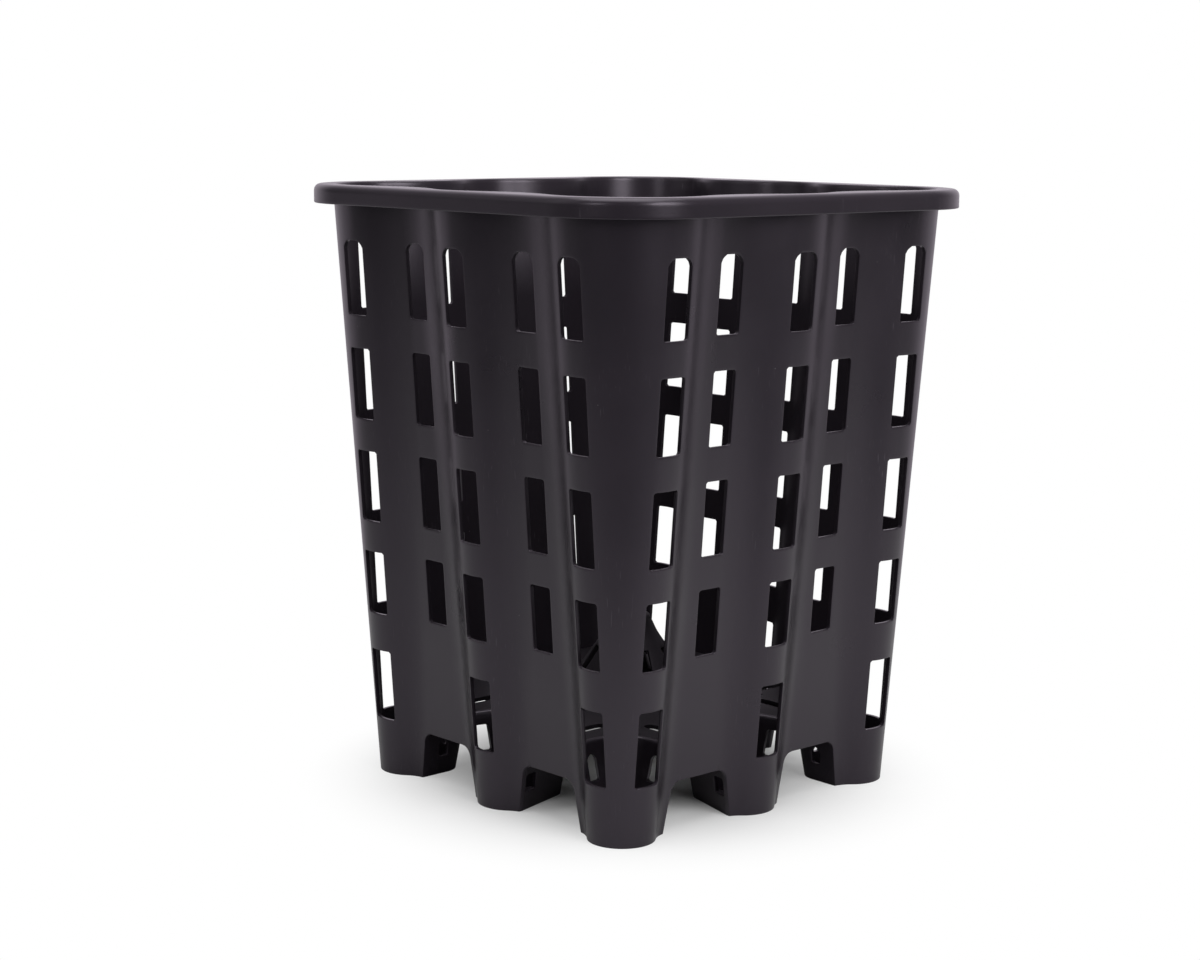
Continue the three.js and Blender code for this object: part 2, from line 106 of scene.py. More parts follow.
def addNode(tree, kind, values=None):
    # Adds one shader node with its settings and links. A value that is a node or an output is linked, and a
    # node stands for its first output in use. A Mix node's numbers are inputs 2 and 3, its colours 6 and 7.
    node = tree.nodes.new("ShaderNode" + kind)
    for name, value in (values or {}).items():
        if isinstance(value, bpy.types.Node):
            value = next(output for output in value.outputs if output.enabled)
        if isinstance(value, bpy.types.NodeSocket):
            tree.links.new(value, node.inputs[name])
        elif isinstance(name, str) and hasattr(node, name):
            setattr(node, name, value)
        else:
            node.inputs[name].default_value = value
    return node


def limits(pair, side="From"):
    # A pair of values as the limits of a Map Range node.
    return {side + " Min": pair[0], side + " Max": pair[1]}


def emptyTree(owner):
    # Clears the nodes of a material or a world, and returns addNode for it.
    owner.use_nodes = True
    owner.node_tree.nodes.clear()
    return partial(addNode, owner.node_tree)


def toLinear(hexText):
    # An sRGB hex colour as linear red, green, blue and alpha, by the sRGB standard's curve.
    levels = [int(hexText[at:at + 2], 16) / 255 for at in (1, 3, 5)]
    linear = [level / 12.92 if level <= 0.04045 else ((level + 0.055) / 1.055) ** 2.4 for level in levels]
    return linear + [1]


# Polypropylene with carbon black, injection moulded against a satin tool. The eye gets a charcoal that
# leans to violet, broad soft reflections, a faint orange peel, flow marks, dust specks and light scuffs.
plasticLook = {
    "colour": "#201b21",
    "darkerColour": "#1a171b",
    "tint": "#fbf0ff",  # of what the plastic mirrors
    "roughness": (0.27, 0.35),
    "ior": 1.49,
    "flowWidth": 0.045,  # of the soft flow marks
    "flowRange": (0.3, 0.7),  # values of their noise between which the roughness changes
    "dustColour": "#8d8a8c",
    "dustSpacing": 0.009,
    "dustRadius": 0.00034,  # coarser than real dust, which is too fine to show
    "dustFrom": 0.55,  # cells with a lower random value have no speck
    "scuffColour": "#3a363b",
    "scuffLength": 0.014,
    "scuffWidth": 0.0006,
    "scuffTurn": (0.9, 0.7, 0.5),
    "scuffCrests": (0.74, 0.86),  # values of the scuffs' noise between which they fade in
    "patchCrests": (0.5, 0.7),  # the same for the patches that have scuffs
    "patchShift": (0.4, 0.7, 0.2),
    "scuffRoughness": 0.2,  # what a scuff adds
    "insideFrom": (0.285, 0.25),  # heights between which the inner side of the wall gets duller
    "insideTurn": -0.02,  # place times normal, along the ground, where it is fully an inner side
    "insideRoughness": 0.25,  # what it adds
    "specular": (0.5, 0.1),  # outside, and on the dull inner side
    "peelWidth": 0.0016,
    "peelHeight": 0.000012,
}


def mouldedPolypropylene(name, look):
    material = bpy.data.materials.new(name)
    add = emptyTree(material)
    place = add("TexCoord").outputs["Object"]
    flow = add("TexNoise", {"Vector": place, "Scale": 1 / look["flowWidth"], "Detail": 3})
    colours = {6: toLinear(look["darkerColour"]), 7: toLinear(look["colour"])}
    body = add("Mix", {"data_type": "RGBA", 0: flow, **colours})

    # Dust: the middle of a few of the cells of a Voronoi pattern
    cells = add("TexVoronoi", {"Vector": place, "Scale": 1 / look["dustSpacing"]})
    speck = look["dustRadius"] / look["dustSpacing"]
    dot = add("MapRange", {"Value": cells.outputs["Distance"], **limits((speck, 0.0))})
    shade = add("SeparateColor", {"Color": cells.outputs["Color"]})
    chosen = add("MapRange", {"Value": shade, **limits((look["dustFrom"], 1.0))})
    dust = add("Math", {"operation": "MULTIPLY", 0: dot, 1: chosen})

    # Scuffs: the crests of a noise that is long one way and narrow the other, in patches
    fine, long = 1 / look["scuffWidth"], 1 / look["scuffLength"]
    stretch = add("Mapping", {"Vector": place, "Rotation": look["scuffTurn"], "Scale": (fine, fine, long)})
    streaks = add("TexNoise", {"Vector": stretch, "Scale": 1.0, "Detail": 0})
    thin = add("MapRange", {"Value": streaks, **limits(look["scuffCrests"])})
    moved = add("Mapping", {"Vector": place, "Location": look["patchShift"]})
    patches = add("TexNoise", {"Vector": moved, "Scale": 1 / look["flowWidth"], "Detail": 1})
    where = add("MapRange", {"Value": patches, **limits(look["patchCrests"])})
    scuff = add("Math", {"operation": "MULTIPLY", 0: thin, 1: where})
    scuffed = add("Mix", {"data_type": "RGBA", 0: scuff, 6: body, 7: toLinear(look["scuffColour"])})
    dusty = add("Mix", {"data_type": "RGBA", 0: dust, 6: scuffed, 7: toLinear(look["dustColour"])})

    # The inner side of the wall, where normals point to the axis, is duller lower down
    ground = add("VectorMath", {"operation": "MULTIPLY", 0: place, 1: (1, 1, 0)})
    normal = add("NewGeometry").outputs["Normal"]
    turned = add("VectorMath", {"operation": "DOT_PRODUCT", 0: ground, 1: normal})
    inner = add("MapRange", {"Value": turned, **limits((0.0, look["insideTurn"]))})
    height = add("SeparateXYZ", {"Vector": place}).outputs["Z"]
    low = add("MapRange", {"Value": height, **limits(look["insideFrom"])})
    dull = add("Math", {"operation": "MULTIPLY", 0: inner, 1: low})

    rough = add("MapRange", {"Value": flow, **limits(look["flowRange"]), **limits(look["roughness"], "To")})
    rougher = add("Math", {"operation": "MULTIPLY_ADD", 0: scuff, 1: look["scuffRoughness"], 2: rough})
    roughest = add("Math", {"operation": "MULTIPLY_ADD", 0: dull, 1: look["insideRoughness"], 2: rougher})
    gloss = add("MapRange", {"Value": dull, **limits(look["specular"], "To")})
    peel = add("TexNoise", {"Vector": place, "Scale": 1 / look["peelWidth"], "Detail": 2})
    bump = add("Bump", {"Height": peel, "Distance": look["peelHeight"], "Strength": 1.0})
    shader = add("BsdfPrincipled", {
        "Base Color": dusty, "Roughness": roughest, "IOR": look["ior"], "Metallic": 0.0, "Normal": bump,
        "Specular IOR Level": gloss, "Specular Tint": toLinear(look["tint"])})
    add("OutputMaterial", {"Surface": shader})
    return material


# The same plastic on the deck and the cone, rougher as off an unpolished tool, with a darker colour that is
# painted shade deep inside the pot: the eye gets a darker, dull charcoal.
shadedInsideLook = dict(plasticLook, roughness=(0.5, 0.6), ior=1.3, colour="#1a171b", darkerColour="#151316")

plastic = mouldedPolypropylene("injection_moulded_polypropylene", plasticLook)
dullShadedPlastic = mouldedPolypropylene("injection_moulded_polypropylene_dull_painted_shade", shadedInsideLook)
print("material made")

# The pot's wall, as a user would measure it
wallSizes = {
    "thickness": 0.0022,
    "pitch": 0.0836,  # from one column's axis to the next, along a face
    "cornerColumn": (0.017, 0.0398),  # radius at the ground and at the mouth
    "sideColumn": (0.0176, 0.0416),
    "valleyDepth": 0.0085,  # from the corner columns' crests back to the valley floor
    "blend": (0.017, 0.065),  # radius that turns a column's flank into the valley
    "edgeRound": 0.0002,
    "archCorner": 0.0065,
    "footLines": (0.0, 0.0015, 0.006, 0.0105, 0.015),  # heights of grid lines below the arch's corner
    "flankFacets": 8,
    "cornerFacets": 16,
    "archFacets": 8,
    "creaseAngle": radians(38),  # sharper edges stay edges in the shading
}
slotSizes = {
    "columnHalf": 0.00775,
    "valleyHalf": 0.0073,
    # The rows of slots, from the lowest
    "bottoms": [0.0303, 0.0885, 0.1389, 0.1934, 0.248],
    "heights": [0.038, 0.0338, 0.0376, 0.0373, 0.0387],
    "cornerCut": 0.0009,
    "topCut": 0.0038,  # the top row has its upper corners taken off
    "margin": 0.0013,  # of even wall round a slot
    "nearMiddle": 0.002,  # from a slot's middle to the grid line beside it
    "heightLines": 5,  # grid lines between a slot's bottom and top
    "lineSpacing": 0.006,  # about what lies between grid lines from one row of slots to the next
}
footSizes = {
    "sideHalf": 0.0173,  # half width of a side foot on the ground
    "sideEnd": 0.009,  # radius of its inner end
    "sideReach": 0.062,  # from the pot's axis to the centre of that end
    "cornerEdge": 0.0634,  # from the pot's axis to a corner foot's side
    "cornerRound": 0.012,  # radius of its inner corner
    "draft": 0.18,  # what a side moves out by for each metre of height
    "sole": 0.0022,
    "drainRadius": 0.004,
    "cornerDrain": 0.082,
    "sideDrain": 0.076,
    "windowBottoms": [0.01, 0.0235],
    "windowHeights": [0.0095, 0.0135],
    "windowMargin": 0.0005,
    "topRound": 0.0018,  # where the deck turns down into a foot
    "topBand": 0.0045,  # height of the plain band under the deck
    "tries": 12,  # at the length of a slanted side, each closer to the wall
    "endFacets": 14,
    "sideSoleFacets": 25,  # of a sole's edge along the wall
    "cornerSoleFacets": 15,
}
# Windows in a foot's sides: way along the side from the wall, width, and what their corners lose
sideWindow = {"from": 0.001, "width": 0.009, "lowerCut": 0.0008, "upperCut": 0.001}
cornerWindow = {"from": 0.008, "width": 0.006, "lowerCut": 0.0008, "upperCut": 0.0026}
thickness = wallSizes["thickness"]
pitch = wallSizes["pitch"]
wallTop = potHeight - thickness
columnReach = slotSizes["columnHalf"] + slotSizes["margin"]
valleyReach = slotSizes["valleyHalf"] + slotSizes["margin"]
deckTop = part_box("base_deck")[1].z
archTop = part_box("valley_panel_front_a")[0].z
archSpring = archTop - wallSizes["archCorner"]  # where an arch's sides start to turn over
nearly = 1e-7  # what two equal lengths may differ by


def between(start, end, share):
    # A straight mix of two values.
    return start + (end - start) * share


def columnRadius(z, isSide=False):
    # The side columns stand out a little further than the corner ones.
    corner = between(*wallSizes["cornerColumn"], z / potHeight)
    return np.where(isSide, between(*wallSizes["sideColumn"], z / potHeight), corner)


def valleyOut(z):
    # The valley floor lies at an even depth behind the corner columns' crests.
    return pitch + columnRadius(z) - wallSizes["valleyDepth"]


def faceOut(u, z, inset=0.0):
    # How far a face stands out at u along it: a circle round each column's axis, a hollow arc that touches
    # it and the flat valley, then the valley. Insets shrink the circle and widen the arc by the same length.
    isSide = np.abs(u) < pitch / 2
    radius = columnRadius(z, isSide)
    depth = pitch + radius - valleyOut(z)
    widest = ((pitch / 2) ** 2 / depth - (2 * radius - depth)) / 2
    hollow = np.minimum(between(*wallSizes["blend"], z / potHeight), widest) + inset
    lobe = radius - inset
    valley = valleyOut(z) - inset
    rise = valley + hollow - pitch
    reach = np.sqrt((lobe + hollow) ** 2 - rise ** 2)
    across = np.abs(np.abs(u) - np.where(isSide, 0, pitch))
    onColumn = (across <= reach * lobe / (lobe + hollow)) | (np.abs(u) > pitch)
    column = pitch + np.sqrt(np.maximum(lobe ** 2 - across ** 2, 0))
    left = np.clip(reach - across, 0, None)
    return np.where(onColumn, column, valley + hollow - np.sqrt(np.maximum(hollow ** 2 - left ** 2, 0)))


def frontPoints(u, z, inset=0.0):
    # Points on the front wall, from places along it and heights.
    u, z = np.broadcast_arrays(u, z)
    return np.stack([u, -faceOut(u, z, inset), z], -1)


def acrossDiagonal(points):
    # The same points on the other side of the diagonal through the front right corner.
    return np.concatenate([-points[..., 1:2], -points[..., :1], points[..., 2:]], -1)


def quarterTurns(points, turns):
    # Points, flat or with heights, turned about the pot's axis by exact quarter turns.
    for _ in range(turns):
        points = np.concatenate([-points[..., 1:2], points[..., :1], points[..., 2:]], -1)
    return points


def archRounding(z):
    # How far the rounded upper corner of an arch has taken over its side at height z: a quarter circle.
    radius = wallSizes["archCorner"]
    rise = np.clip(z - archSpring, 0, radius)
    return radius - np.sqrt(np.maximum(radius ** 2 - rise ** 2, 0))


def sideEdge(z):
    # Half a side column's width in a foot: it grows by the draft, then by the arch's rounded corner.
    return footSizes["sideHalf"] + footSizes["draft"] * np.minimum(z, archSpring) + archRounding(z)


def cornerEdge(z):
    # Where a corner column starts in a foot, by the same formula from the other side.
    return footSizes["cornerEdge"] - footSizes["draft"] * np.minimum(z, archSpring) - archRounding(z)


def finishPiece(mesh, name, node, weights=None, sharp=None, bevelWidth=wallSizes["edgeRound"]):
    # Shades a new mesh, rounds the weighted edges, and makes it stand for its section of the pot.
    mesh.polygons.foreach_set("use_smooth", np.ones(len(mesh.polygons), bool))
    if sharp is None:
        mesh.set_sharp_from_angle(angle=wallSizes["creaseAngle"])
    else:
        mesh.attributes.new("sharp_edge", "BOOLEAN", "EDGE").data.foreach_set("value", sharp)
    piece = bpy.data.objects.new(name, mesh)
    bpy.context.scene.collection.objects.link(piece)
    # The deck and the cone get the darker plastic, whose colour is painted shade inside the pot.
    mesh.materials.append(dullShadedPlastic if node.startswith("base_") else plastic)
    if weights is not None:
        mesh.attributes.new("bevel_weight_edge", "FLOAT", "EDGE").data.foreach_set("value", weights)
        bevel = piece.modifiers.new("edges", "BEVEL")
        bevel.width = bevelWidth
        bevel.segments = 3
        bevel.limit_method = "WEIGHT"
        bevel.use_clamp_overlap = False
    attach(piece, "root")
    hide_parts(node)
    return piece


def edgeKeys(first, second, count):
    # One number for each pair of vertices, whichever comes first.
    return np.minimum(first, second).astype(np.int64) * count + np.maximum(first, second)


def edgeWeights(mesh, weighted):
    # The bevel weight of each edge of a mesh, from a list of (first ends, second ends, weight).
    ends = np.empty(len(mesh.edges) * 2, np.int32)
    mesh.edges.foreach_get("vertices", ends)
    count = len(mesh.vertices)
    keys = edgeKeys(ends[0::2], ends[1::2], count)
    weights = np.zeros(len(keys), np.float32)
    for first, second, weight in weighted:
        weights[np.isin(keys, edgeKeys(first, second, count))] = weight
    return weights


def meshFromShell(name, points, quads, weighted):
    # A mesh of the points that are used, with its edges' bevel weights.
    used, packed = np.unique(quads, return_inverse=True)
    newIndex = np.full(len(points), -1)
    newIndex[used] = np.arange(len(used))
    mesh = bpy.data.meshes.new(name)
    mesh.from_pydata(points[used], [], packed.reshape(quads.shape).tolist())
    renamed = [(newIndex[first], newIndex[second], weight) for first, second, weight in weighted]
    return mesh, edgeWeights(mesh, renamed)


def shell(name, node, outer, inner, solid, softOuter, softInner, closed=False,
          topRound=wallSizes["edgeRound"]):
    # A sheet with a thickness between two grids of points, stations by levels. Solid says which cells are
    # there. The rims of what is open are rounded where both ends are marked soft, the top one by topRound.
    # A closed sheet joins its last station to its first.
    across, up = outer.shape[:2]
    front = np.arange(across * up).reshape(across, up)
    if closed:
        front, softOuter, softInner = (np.vstack([grid, grid[:1]]) for grid in (front, softOuter, softInner))
    back = front + across * up
    a, b, c, d = front[:-1, :-1], front[1:, :-1], front[1:, 1:], front[:-1, 1:]
    quads = [np.stack([a, b, c, d], -1)[solid], np.stack([a, d, c, b], -1)[solid] + across * up]
    around = np.pad(solid, 1)
    if closed:
        around[0], around[-1] = around[-2], around[1]
    borders = [
        (solid & ~around[:-2, 1:-1], a, d),  # left
        (solid & ~around[2:, 1:-1], c, b),  # right
        (solid & ~around[1:-1, :-2], b, a),  # below
        (solid & ~around[1:-1, 2:], d, c),  # above
    ]
    marks = np.zeros(2 * across * up, bool)
    marks[front], marks[back] = softOuter, softInner
    weighted = []
    for mask, start, end in borders:
        p, q = start[mask], end[mask]
        isTop = (p % up == up - 1) & (q % up == up - 1)
        quads.append(np.stack([p, q, q + across * up, p + across * up], -1))
        for first, second in ((p, q), (p + across * up, q + across * up)):
            soft = marks[first] & marks[second]
            weighted.append((first[soft & ~isTop], second[soft & ~isTop], wallSizes["edgeRound"] / topRound))
            weighted.append((first[soft & isTop], second[soft & isTop], 1.0))
    points = np.concatenate([outer.reshape(-1, 3), inner.reshape(-1, 3)])
    mesh, weights = meshFromShell(name, points, np.concatenate(quads), weighted)
    mesh.set_sharp_from_angle(angle=wallSizes["creaseAngle"])
    sharp = np.zeros(len(mesh.edges), bool)
    mesh.attributes["sharp_edge"].data.foreach_get("value", sharp)
    mesh.attributes.remove(mesh.attributes["sharp_edge"])
    return finishPiece(mesh, name, node, weights, sharp & (weights == 0), topRound)


def slottedLevels(start, firstRow):
    # Heights of the grid lines up to the rim, and for each row of slots the lines at its bottom and its top.
    levels, rows = list(start), []
    margin, lines = slotSizes["margin"], slotSizes["heightLines"]
    for row in range(firstRow, len(slotSizes["bottoms"])):
        bottom = slotSizes["bottoms"][row]
        top = bottom + slotSizes["heights"][row]
        isTop = row == len(slotSizes["bottoms"]) - 1
        upperCut = slotSizes["topCut"] if isTop else slotSizes["cornerCut"]
        steps = max(round((bottom - margin - levels[-1]) / slotSizes["lineSpacing"]), 1)
        levels += list(np.linspace(levels[-1], bottom - margin, steps + 1)[1:])
        rows.append((len(levels), len(levels) + lines + 1, upperCut))
        levels.append(bottom)
        levels += list(np.linspace(bottom + slotSizes["cornerCut"] + margin, top - upperCut - margin, lines))
        levels += [top, top + margin]
    levels += list(np.linspace(levels[-1], wallTop, lines)[1:])
    return np.array(levels), rows


def cornerLoss(offsets, half, cut):
    # What a slot's corner loses at each station: halfway between a straight cut and a quarter circle.
    past = np.clip(np.abs(offsets) - (half - cut), 0, cut)
    lost = (past + cut - np.sqrt(cut ** 2 - past ** 2)) / 2
    return np.where(np.abs(offsets) <= half + nearly, lost, 0.0)


def cutCorners(offsets, half, levels, rows, lowerCut):
    # Heights for each station and level. At a slot's bottom and top they move in by what its corners lose.
    # Offsets are from the slot's middle, and are not a number away from slots.
    z = np.repeat(levels[None, :], len(offsets), 0)
    for first, last, upperCut in rows:
        z[:, last:last + 2] -= cornerLoss(offsets, half, upperCut)[:, None]
        z[:, first - 1:first + 1] += cornerLoss(offsets, half, lowerCut)[:, None]
    return z


def slotOffsets(half):
    # Offsets from a slot's middle of the stations across it and its margins.
    cut, topCut = slotSizes["cornerCut"], slotSizes["topCut"]
    right = np.array([slotSizes["nearMiddle"], half - topCut, half - topCut / 2, half - cut, half,
                      half + slotSizes["margin"]])
    return np.concatenate([-right[::-1], [0.0], right])


def solidCells(offsets, half, levels, rows):
    # Which cells are there: all but those between an opening's sides, in its rows.
    inside = np.abs(offsets) <= half + nearly
    solid = np.ones((len(offsets) - 1, len(levels) - 1), bool)
    for first, last, _ in rows:
        solid[np.ix_(inside[:-1] & inside[1:], np.arange(first, last))] = False
    return solid


sideJoint, cornerJoint = float(sideEdge(archTop)), float(cornerEdge(archTop))
flankStep = (sideJoint - columnReach) / wallSizes["flankFacets"]
cornerStep = (pitch - columnReach - cornerJoint) / wallSizes["flankFacets"]
valleySlotEnd = pitch / 2 + valleyReach


def wallSheets(before, slotMiddle, half, after, levels, rows, joints):
    # The outer and the inner sheet of a section of the front wall, and which of its cells are there. Before
    # and after are the places of the stations beside the slot's. Above the arch a section ends part of the
    # way along a facet, so that the facet and its shading run on into the next section. Each joint is a
    # station, the place where the section ends there, and the ends of that facet.
    slot = slotOffsets(half)
    u = np.concatenate([before, np.repeat((slotMiddle + slot)[:, None], len(levels), 1), after])
    offsets = np.concatenate([np.full(len(before), np.nan), slot, np.full(len(after), np.nan)])
    z = cutCorners(offsets, half, levels, rows, slotSizes["cornerCut"])
    sheets = []
    for inset in (0.0, thickness):
        points = frontPoints(u, z, inset)
        for station, place, start, end in joints:
            above = z[station] >= archTop - nearly
            ends = [frontPoints(at, z[station, above], inset) for at in (start, end)]
            points[station, above] = between(*ends, (place - start) / (end - start))
        sheets.append(points)
    return sheets, solidCells(offsets, half, levels, rows)


def footStart():
    # Levels through a foot, closer together round the arch's corner.
    turn = np.linspace(0, pi / 2, wallSizes["archFacets"] + 1)
    return [*wallSizes["footLines"], *(archSpring + wallSizes["archCorner"] * np.sin(turn))]


def wallPiece(name, node, sheets, cells, isFoot, turns):
    # Turns a section to its place. Its edges are rounded, but not where another piece joins on.
    z = sheets[0][..., 2]
    softOuter, softInner = np.ones(z.shape, bool), np.ones(z.shape, bool)
    softOuter[:, -1] = softInner[:, -1] = False
    for station in (0, -1):
        above = z[station] > archTop + nearly
        softOuter[station, above] = softInner[station, above] = False
    if isFoot:
        softInner[[0, -1]] = softInner[:, 0] = False
    shell(name, node, *(quarterTurns(points, turns) for points in sheets), cells, softOuter, softInner)


def flank(side, edge, start, levels):
    # Places along the face from a column's edge to its slot's margin, stations by levels.
    shares = np.linspace(1, 0, wallSizes["flankFacets"] + 1)[:-1, None]
    return side * between(start, edge(levels), shares)


def sideColumn(face, turns):
    # The column in the middle of a face: a flank, the slots and the other flank.
    levels, rows = slottedLevels(footStart(), 0)
    left, right = (flank(side, sideEdge, columnReach, levels) for side in (-1, 1))
    joints = [(-1, sideJoint, sideJoint - flankStep, sideJoint + flankStep)]
    joints.append((0, *(-place for place in joints[0][1:])))
    sheets, cells = wallSheets(left, 0.0, slotSizes["columnHalf"], right[::-1], levels, rows, joints)
    wallPiece(f"sideColumn_{face}", f"side_column_{face}", sheets, cells, True, turns)


def cornerArc(z, inset):
    # Points round a corner column between its two rows of slots: a circle about its axis.
    radius = columnRadius(z) - inset
    start = np.arcsin(columnReach / radius)
    shares = np.linspace(0, 1, wallSizes["cornerFacets"] + 1)[1:-1, None]
    angle = between(start, pi / 2 - start, shares)
    x, y = pitch + radius * np.sin(angle), -pitch - radius * np.cos(angle)
    return np.stack([x, y, np.broadcast_to(z, angle.shape)], -1)


def cornerColumn(corner, turns):
    # One half of the column, the arc round the corner, and the same half across the diagonal.
    levels, rows = slottedLevels(footStart(), 0)
    before = flank(1, cornerEdge, pitch - columnReach, levels)
    joints = [(0, cornerJoint, valleySlotEnd, cornerJoint + cornerStep)]
    halves, cells = wallSheets(before, pitch, slotSizes["columnHalf"], before[:0], levels, rows, joints)
    sheets = [np.concatenate([half, cornerArc(levels, inset), acrossDiagonal(half)[::-1]])
              for half, inset in zip(halves, (0.0, thickness))]
    arcCells = np.ones((wallSizes["cornerFacets"], len(levels) - 1), bool)
    cells = np.concatenate([cells, arcCells, cells[::-1]])
    wallPiece(f"cornerColumn_{corner}", f"corner_column_{corner}", sheets, cells, True, turns)


def valleyPanel(face, side, letter, turns):
    # The panel right of a face's side column, or its mirror image on the left where side is -1.
    levels, rows = slottedLevels([archTop, archTop + slotSizes["margin"]], 1)
    plain = np.repeat([[sideJoint], [sideJoint + flankStep], [cornerJoint]], len(levels), 1)
    joints = [(0, sideJoint, sideJoint - flankStep, sideJoint + flankStep),
              (-1, cornerJoint, valleySlotEnd, cornerJoint + cornerStep)]
    sheets, cells = wallSheets(plain[:2], pitch / 2, slotSizes["valleyHalf"], plain[2:], levels, rows, joints)
    if side < 0:
        sheets = [points[::-1] * [-1, 1, 1] for points in sheets]
    which = f"{face}_{letter}"
    wallPiece("valleyPanel_" + which, "valley_panel_" + which, sheets, cells[::side], False, turns)


def windowRows(levels, window):
    # Adds the foot windows' grid lines to levels, and says where each one's bottom and top are.
    rows = []
    margin = footSizes["windowMargin"]
    for bottom, height in zip(footSizes["windowBottoms"], footSizes["windowHeights"]):
        top = bottom + height
        levels += [bottom - margin, bottom, bottom + window["lowerCut"] + margin]
        levels += [top - window["upperCut"] - margin, top, top + margin]
        rows.append((len(levels) - 5, len(levels) - 2, window["upperCut"]))
    return rows


def windowStations(window):
    # Distances along a foot's side from the wall past its window, and their offsets from the window's middle.
    half = window["width"] / 2
    cuts = [window["upperCut"], window["upperCut"] / 2, window["lowerCut"], 0.0, -footSizes["windowMargin"]]
    right = half - np.array(sorted(cuts, reverse=True))
    offsets = np.concatenate([-right[::-1], [0.0], right])
    return np.append(0.0, window["from"] + half + offsets), np.append(np.nan, offsets)


def sideFootPlan(grow, z):
    # Plan of half a side foot at heights z, from the wall to the middle of its inner end. A straight side
    # touches the circle of the end, and passes through the edge of the arch at the wall.
    outerEdge = footSizes["sideHalf"] + footSizes["draft"] * z
    radius = footSizes["sideEnd"] + footSizes["draft"] * z
    reach = footSizes["sideReach"]
    away = faceOut(outerEdge, z, thickness) - reach
    taper = np.arccos(radius / np.hypot(outerEdge, away)) - np.arctan2(away, outerEdge)
    radius = radius + grow
    touch = np.stack([np.cos(taper) * radius, -reach + np.sin(taper) * radius])
    along = np.stack([np.sin(taper), -np.cos(taper)])
    run = np.zeros_like(z)
    for _ in range(footSizes["tries"]):
        run = (faceOut(touch[0] + along[0] * run, z, thickness) + touch[1]) / -along[1]
    return touch, along, run, taper, radius


def bothSides(offsets, endStations):
    # Offsets for a whole path: along one side, round the end, and back along the other side.
    half = np.concatenate([offsets, np.full(endStations, np.nan)])
    return np.concatenate([half, half[-2::-1]])


def sideFootPath(grow, z):
    # Plan of a side foot: from the front wall left of it, round its inner end, to the wall right of it.
    touch, along, run, taper, radius = sideFootPlan(grow, z)
    runs, offsets = windowStations(sideWindow)
    straight = touch[:, None] + along[:, None] * (run - runs[:, None])
    angle = between(taper, pi / 2, np.linspace(0, 1, footSizes["endFacets"] // 2 + 1)[:, None])
    end = np.stack([radius * np.cos(angle), -footSizes["sideReach"] + radius * np.sin(angle)])
    half = np.concatenate([straight, end], 1)
    path = np.concatenate([half, half[:, -2::-1] * np.array([-1, 1])[:, None, None]], 1)[:, ::-1]
    return path, bothSides(offsets, end.shape[1])


def cornerFootPath(grow, z):
    # Plan of a corner foot: straight in from the front wall, round its inner corner, out to the right wall.
    edge = footSizes["cornerEdge"] - footSizes["draft"] * z - grow
    centre = footSizes["cornerEdge"] + footSizes["cornerRound"]
    radius = centre - edge
    start = faceOut(edge, z, thickness)
    runs, offsets = windowStations(cornerWindow)
    straight = np.stack([np.broadcast_to(edge, (len(runs), len(z))), -(start - runs[:, None])])
    angle = np.linspace(0, pi / 4, footSizes["endFacets"] // 2 + 1)[:, None]
    end = np.stack([centre - radius * np.cos(angle), -centre + radius * np.sin(angle)])
    half = np.concatenate([straight, end], 1)
    path = np.concatenate([half, -half[::-1, -2::-1]], 1)
    return path, bothSides(offsets, end.shape[1])


def insidePolygon(points, outline):
    # Even and odd crossings of a ray to the right of each point.
    x, y = points[:, None, 0], points[:, None, 1]
    start, end = outline[None], np.roll(outline, -1, 0)[None]
    spans = (start[..., 1] > y) != (end[..., 1] > y)
    rise = end[..., 1] - start[..., 1]
    along = (y - start[..., 1]) / np.where(rise == 0, 1, rise)
    crossing = start[..., 0] + along * (end[..., 0] - start[..., 0])
    return (spans & (x < crossing)).sum(1) % 2 == 1


def plate(outline, holes, bottom, top):
    # A flat plate: its loops are triangulated, and the sheet lies at the top and the bottom with walls
    # between. It comes as points, faces and, for each hole, the ends of its upper and of its lower edges.
    loops = [outline, *holes]
    flat = np.concatenate(loops)
    starts = np.cumsum([0] + [len(loop) for loop in loops])
    rings = [(start + np.arange(len(loop)), start + (np.arange(len(loop)) + 1) % len(loop))
             for start, loop in zip(starts, loops)]
    edges = np.concatenate([np.stack(ring, -1) for ring in rings])
    made = delaunay_2d_cdt([Vector(p) for p in flat], edges.tolist(), [], 1, nearly ** 2)
    triangles = np.array(made[2])
    centres = flat[triangles].mean(1)
    keep = insidePolygon(centres, outline)
    for hole in holes:
        keep &= ~insidePolygon(centres, hole)
    triangles = triangles[keep]
    corner = flat[triangles]
    turn = np.cross(corner[:, 1] - corner[:, 0], corner[:, 2] - corner[:, 0])
    triangles[turn < 0] = triangles[turn < 0][:, ::-1]
    count = len(flat)
    points = np.concatenate([np.c_[flat, np.full(count, height)] for height in (top, bottom)])
    faces = triangles.tolist() + (triangles[:, ::-1] + count).tolist()
    soft = []
    for loop, (first, second) in zip(loops, rings):
        area = np.sum(loop[:, 0] * np.roll(loop[:, 1], -1) - np.roll(loop[:, 0], -1) * loop[:, 1])
        if (area > 0) != (loop is outline):
            first, second = second, first
        faces += np.stack([first, first + count, second + count, second], -1).tolist()
        if loop is not outline:
            soft += [(first, second), (first + count, second + count)]
    return points, faces, soft


def ring(x, y, radius, facets=32):
    # Points round a circle.
    angle = np.linspace(0, 2 * pi, facets, endpoint=False)
    return np.stack([x + radius * np.cos(angle), y + radius * np.sin(angle)], -1)


def plateMesh(name, points, faces, soft, weight=1.0):
    # A mesh, with one bevel weight for all of its soft edges.
    mesh = bpy.data.meshes.new(name)
    mesh.from_pydata(points, [], faces)
    return mesh, edgeWeights(mesh, [(*ends, weight) for ends in soft])


